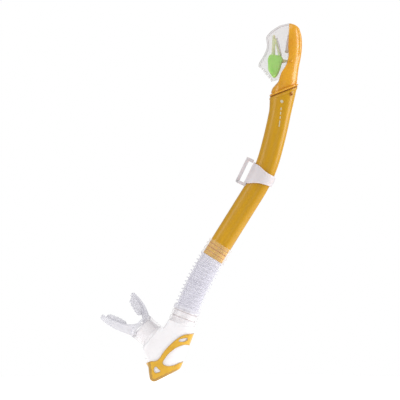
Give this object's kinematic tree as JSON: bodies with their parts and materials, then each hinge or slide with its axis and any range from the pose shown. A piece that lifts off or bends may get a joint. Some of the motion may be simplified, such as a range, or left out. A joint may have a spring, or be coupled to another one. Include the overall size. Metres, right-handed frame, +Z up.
{
  "type": "snorkel tube",
  "caption": "Dry snorkel with a curved oval barrel, float valve head, strap keeper, ribbed flexible hose, purge valve housing and bite mouthpiece.",
  "frame": {"origin": "middle of the strap slot in the keeper", "axes": "+Z up towards the valve head, +X from the mouthpiece side towards the back of the barrel, +Y across, away from the viewer of the left side"},
  "size_m": [0.2369, 0.0692, 0.4106],
  "materials": {
    "amber_tube": "satin translucent",
    "orange_shell": "gloss",
    "seal_ring": "matt",
    "pin_steel": "satin",
    "clear_cap": "clear gloss",
    "green_float": "gloss",
    "green_lever": "gloss",
    "keeper_white": "satin",
    "clear_silicone": "soft clear",
    "white_shell": "gloss",
    "amber_trim": "gloss"
  },
  "bodies": {
    "barrel": {"barrel": "amber_tube", "lock_pins": "orange_shell", "housing_seal": "seal_ring", "valve_housing": "orange_shell", "valve_seat": "seal_ring", "float_pin": "pin_steel", "float_cap": "clear_cap"},
    "float": {"float": "green_float", "float_lever": "green_lever", "seal_flap": "seal_ring"},
    "keeper": {"keeper_band": "keeper_white", "gate_pin": "pin_steel"},
    "gate": {"strap_gate": "keeper_white"},
    "hose": {"flex_hose": "clear_silicone"},
    "lower": {"lower_housing": "white_shell", "purge_trim": "amber_trim", "purge_seat": "white_shell", "purge_cover": "white_shell"},
    "diaphragm": {"purge_diaphragm": "seal_ring"},
    "mouth": {"mouthpiece": "clear_silicone"}
  },
  "joints": [
    {"name": "float_swing", "type": "hinge", "parent": "barrel", "child": "float", "pos_m": [0.05146, 0, 0.1267], "axis": [0, 1, 0], "range_deg": [0, 22]},
    {"name": "keeper_slide", "type": "hinge", "parent": "barrel", "child": "keeper", "pos_m": [-0.13248, 0, 0.06462], "axis": [0, 1, 0], "range_deg": [-5, 1]},
    {"name": "strap_gate_swing", "type": "hinge", "parent": "keeper", "child": "gate", "pos_m": [-0.01036, 0, -0.0103], "axis": [0, -1, 0], "range_deg": [0, 55]},
    {"name": "hose_bend", "type": "hinge", "parent": "barrel", "child": "hose", "pos_m": [-0.05074, 0, -0.11938], "axis": [0, 1, 0], "range_deg": [-25, 25], "stiffness_Nm_per_rad": 1.5, "deforming": ["flex_hose"]},
    {"name": "hose_side_bend", "type": "hinge", "parent": "hose", "child": "lower", "pos_m": [-0.05868, 0, -0.13531], "axis": [0.9063, 0, -0.4226], "range_deg": [-20, 20], "stiffness_Nm_per_rad": 1.5, "deforming": ["flex_hose"]},
    {"name": "mouthpiece_turn", "type": "hinge", "parent": "lower", "child": "mouth", "pos_m": [-0.08698, 0, -0.20673], "axis": [-0.7399, 0.2588, 0.6209], "range_deg": [-60, 45]},
    {"name": "purge_lift", "type": "slide", "parent": "lower", "child": "diaphragm", "axis": [0.5299, 0, -0.848], "range_m": [0, 0.0016], "stiffness_N_per_m": 40}
  ]
}
